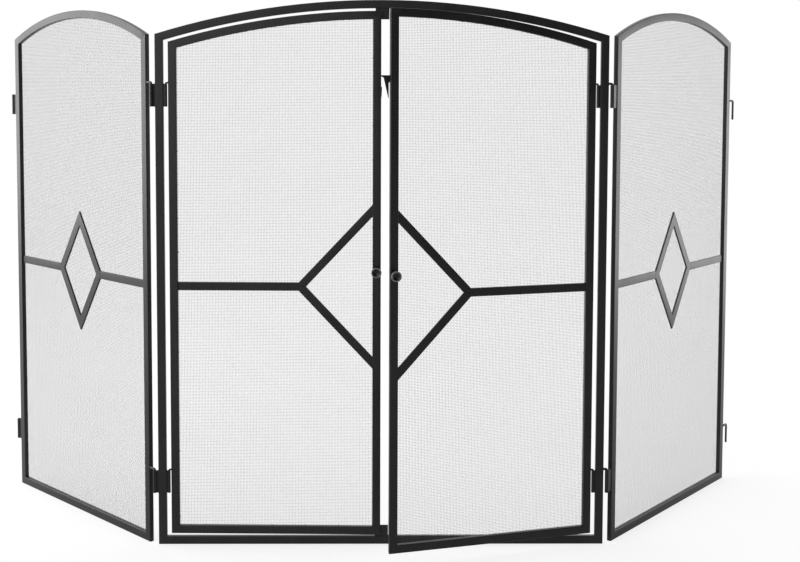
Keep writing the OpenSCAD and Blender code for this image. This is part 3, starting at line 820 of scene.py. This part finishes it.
class GATE_OT_plates(bpy.types.Operator):
    """Makes the stop plates, the lap tab and the spacer wedge, with softened edges"""
    bl_idname = "gate.plates"
    bl_label = "Stop Plates and Tab"

    def execute(self, context):
        for body, name, ends in (("frame", "frame_stop_plates", ("top_stop", "bottom_stop")),
                                 ("left_door", "left_door_spacer_wedge", ("spacer",)),
                                 ("right_door", "right_door_tab", ("lap_tab",))):
            finished_piece(name, names(body, *ends), body, coat(), edge=PLATE_EDGE,
                           smooth_deg=50)
        return {"FINISHED"}


class GATE_OT_woven(bpy.types.Operator):
    """Weaves the wire panels of doors and wings"""
    bl_idname = "gate.woven"
    bl_label = "Woven Wire"

    def execute(self, context):
        sizes = context.scene.gate_sizes
        upright, level = upright_wires_tree(), level_wires_tree()
        material = wire_coat("Coated wire", tuple(context.scene.gate_finish.wire_colour))
        for panel in WOVEN_PANELS:
            place = PANELS[panel]
            values = {"Width": place.width, "Height": place.height, "Pitch": sizes.pitch, "Wire": sizes.wire,
                      "Arch Middle": place.arch_s, "Arch Centre Height": place.arch_z,
                      "Arch Radius": place.arch_r, "Material": material}
            for name, tree, more in ((f"{panel}_upright_wires_a", upright, {"Far Half": False}),
                                     (f"{panel}_upright_wires_b", upright, {"Far Half": True}),
                                     (f"{panel}_level_wires", level, {})):
                mesh = tree.mesh(name, {**values, **more})
                if not mesh.polygons:
                    raise RuntimeError(f"{name} came out empty")
                mesh.transform(Matrix.Translation((0, place.thick / 2, 0)))
                place_on_panel(mesh, panel)
                piece = add_piece(name, mesh, panel)
                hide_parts(f"{panel}_mesh")
        return {"FINISHED"}


class GATE_OT_hinges(bpy.types.Operator):
    """Makes the bent wire hooks and the sockets that they hang in"""
    bl_idname = "gate.hinges"
    bl_label = "Hooks and Sockets"

    def execute(self, context):
        for body, name, ends in (
                ("frame", "frame_wing_hooks", ("right_wing_hooks",)),
                ("frame", "frame_wing_barrels", ("left_wing_sockets",)),
                ("frame", "frame_door_barrels", ("left_door_sockets", "right_door_sockets")),
                ("left_door", "left_door_wire_hooks", ("hooks",)),
                ("right_door", "right_door_wire_hooks", ("hooks",)),
                ("left_wing", "left_wing_wire_hooks", ("hooks",)),
                ("left_wing", "left_wing_barrels", ("outer_sockets",)),
                ("right_wing", "right_wing_barrels", ("sockets",)),
                ("right_wing", "right_wing_wire_hooks", ("outer_hooks",))):
            finished_piece(name, names(body, *ends), body, coat(), smooth_deg=42)
        return {"FINISHED"}


class GATE_OT_knobs(bpy.types.Operator):
    """Makes the two knobs and their screws"""
    bl_idname = "gate.knobs"
    bl_label = "Knobs"

    def execute(self, context):
        finish = context.scene.gate_finish
        gloss = knob_gloss("Semi-gloss black", tuple(finish.knob_colour))
        plate = zinc("Zinc plate", tuple(finish.screw_colour))
        for door in DOORS:
            knob = finished_piece(f"{door}_round_knob", names(door, "knob"), door, gloss,
                                  smooth_deg=50)
            # The knob's rim gets a painted highlight, a paler colour on its front edge
            self.paint_highlight_on_rim(knob.data, -PANELS[door].back)
            finished_piece(f"{door}_screw", names(door, "knob_screw"), door, plate,
                           smooth_deg=42)
        return {"FINISHED"}

    def paint_highlight_on_rim(self, mesh, ahead):
        """Marks the knob's rim, far from its axis and near its front, where a paler colour is painted as a
        highlight. The axis runs along ahead.
        """
        co = points_of(mesh)
        across = np.array([-ahead[1], ahead[0]])
        side, depth, z = co[:, :2] @ across, co[:, :2] @ ahead, co[:, 2]
        radius = np.hypot(side - (side.min() + side.max()) / 2, z - (z.min() + z.max()) / 2)
        # Both grow from 0 to 1 over a tenth of the knob's size
        rim = np.clip((radius / radius.max() - 0.68) / 0.1, 0, 1)
        front = np.clip(((depth - depth.min()) / np.ptp(depth) - 0.7) / 0.1, 0, 1)
        highlight_values = mesh.attributes.new(PAINTED_RIM_HIGHLIGHT, "FLOAT", "POINT")
        highlight_values.data.foreach_set("value", (rim * front).astype(np.float32))


class GATE_OT_welds(bpy.types.Operator):
    """Runs weld beads round hooks, leaves, bars and plates, and spot welds along the woven wire"""
    bl_idname = "gate.welds"
    bl_label = "Welds"

    def execute(self, context):
        sizes = context.scene.gate_sizes
        tree = bead_tree()
        material = weld_coat()
        for body in BODIES:
            for kind, lines, bead, step in (
                    ("welds", self.bead_lines(body), sizes.bead, sizes.bead_step),
                    ("spot_welds", self.spot_lines(body), sizes.bead * SPOT_SIZE, sizes.spot_step)):
                if not lines:
                    continue
                name = f"{body}_{kind}"
                path = bpy.data.meshes.new(name + "_path")
                points, edges = [], []
                for line in lines:
                    edges += [(len(points) + i, len(points) + i + 1) for i in range(len(line) - 1)]
                    points += line
                path.from_pydata(points, edges, [])
                values = {"Bead": bead, "Step": step, "Seed": sizes.seed, "Material": material}
                mesh = tree.mesh(name, values, path)
                if not mesh.polygons:
                    raise RuntimeError(f"{name} came out empty")
                add_piece(name, mesh, body)
        return {"FINISHED"}

    def contacts(self, node, axis, face, back):
        """Depths and heights of a node's points on a panel's face. axis is the face's direction, face its
        distance along it, and back the panel's depth direction."""
        co = points_of(NODES[node].data)
        on = co[np.abs(co[:, :2] @ axis - face) < ON_FACE]
        return on[:, :2] @ back, on[:, 2]

    def bead_lines(self, body):
        """Lines of the welds of one body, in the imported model's frame."""
        lines = []
        for node, axis, face, back, kind in self.joints(body):
            t, z = self.contacts(node, axis, face, back)
            if not len(z):
                raise RuntimeError(f"{node} doesn't touch its panel")

            def at(tt, zz):
                xy = axis * face + back * tt
                return (float(xy[0]), float(xy[1]), float(zz))

            for group in self.groups(z):
                tt, zz = t[group], z[group]
                if kind == "ring":
                    mt, mz = (tt.min() + tt.max()) / 2, (zz.min() + zz.max()) / 2
                    r = (zz.max() - zz.min()) / 2
                    lines.append([at(mt + r * math.cos(a), mz + r * math.sin(a))
                                  for a in np.linspace(0, 2 * math.pi, RING_POINTS)])
                else:
                    for edge in (t.min(), t.max()):
                        lines.append([at(edge, zz.min()), at(edge, zz.max())])
        return lines

    def groups(self, heights):
        """Indices of the heights that belong to one hinge, for each hinge."""
        order = np.argsort(heights)
        cuts = np.where(np.diff(heights[order]) > HINGES_APART)[0] + 1
        return np.split(order, cuts)

    def joints(self, body):
        """Node, direction, distance along it, depth direction and kind of each welded joint of a body."""
        if body == "frame":
            lo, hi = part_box("frame_left_stile")
            side, inner = abs(lo[0]), abs(hi[0])
            x, y = np.array([1.0, 0.0]), np.array([0.0, 1.0])
            return [("frame_left_wing_sockets", x, -side, y, "leaf"),
                    ("frame_right_wing_hooks", x, side, y, "ring"),
                    ("frame_left_door_sockets", x, -inner, y, "leaf"),
                    ("frame_right_door_sockets", x, inner, y, "leaf")]
        place = PANELS[body]
        low_in = place.origin[0]
        high_in = low_in + place.width
        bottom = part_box(f"{body}_bottom_rail")
        tube = bottom[1][2] - bottom[0][2]
        low_out, high_out = low_in - tube, high_in + tube
        found = {
            "left_door": [("hooks", high_out, "ring"), ("cross_bar", high_in, "bar"),
                          ("upper_bar", low_in, "bar"), ("lower_bar", low_in, "bar")],
            "right_door": [("hooks", high_out, "ring"), ("cross_bar", high_in, "bar"),
                           ("upper_bar", low_in, "bar"), ("lower_bar", low_in, "bar"),
                           ("lap_tab", low_out, "bar")],
            "left_wing": [("inner_arm", low_in, "bar"), ("outer_arm", high_in, "bar"),
                          ("hooks", low_out, "ring"), ("outer_sockets", high_out, "leaf")],
            "right_wing": [("inner_arm", low_in, "bar"), ("outer_arm", high_in, "bar"),
                           ("sockets", low_out, "leaf"), ("outer_hooks", high_out, "ring")]}
        return [(f"{body}_{end}", place.along, face, place.back, kind) for end, face, kind in found[body]]

    def spot_lines(self, body):
        """The inner outline of a panel's tubes, at the back of its woven wire."""
        if body not in PANELS:
            return []
        p = PANELS[body]
        arch = [(s, p.arch_z + math.sqrt(p.arch_r ** 2 - (s - p.arch_s) ** 2))
                for s in np.linspace(0, p.width, RING_POINTS)]
        outline = [(0.0, 0.0)] + arch + [(p.width, 0.0), (0.0, 0.0)]
        return [[tuple(p.matrix @ Vector((float(s), p.thick / 2, float(z)))) for s, z in outline]]


# Panel and registration

PIECES = ("stage", "tubes", "bars", "plates", "woven", "hinges", "knobs", "welds")


class GATE_PT_sidebar(bpy.types.Panel):
    """Lists the pieces of the gate with their sizes and colours"""
    bl_idname = "GATE_PT_sidebar"
    bl_label = "Fireplace Safety Gate"
    bl_space_type = "VIEW_3D"
    bl_region_type = "UI"
    bl_category = "Gate"

    def draw(self, context):
        for piece in PIECES:
            self.layout.operator(f"gate.{piece}")
        scene = context.scene
        for group in (scene.gate_sizes, scene.gate_finish, scene.gate_studio):
            box = self.layout.box()
            for key in group.__annotations__:
                box.prop(group, key)


CLASSES = (GateSizes, GateFinish, GateStudio, GATE_OT_stage, GATE_OT_tubes, GATE_OT_bars, GATE_OT_plates,
           GATE_OT_woven, GATE_OT_hinges, GATE_OT_knobs, GATE_OT_welds, GATE_PT_sidebar)


def register():
    for kind in CLASSES:
        bpy.utils.register_class(kind)
    bpy.types.Scene.gate_sizes = PointerProperty(type=GateSizes)
    bpy.types.Scene.gate_finish = PointerProperty(type=GateFinish)
    bpy.types.Scene.gate_studio = PointerProperty(type=GateStudio)


def unregister():
    del bpy.types.Scene.gate_sizes, bpy.types.Scene.gate_finish, bpy.types.Scene.gate_studio
    for kind in reversed(CLASSES):
        bpy.utils.unregister_class(kind)


def main():
    register()
    for piece in PIECES:
        getattr(bpy.ops.gate, piece)()


if __name__ == "__main__":
    main()
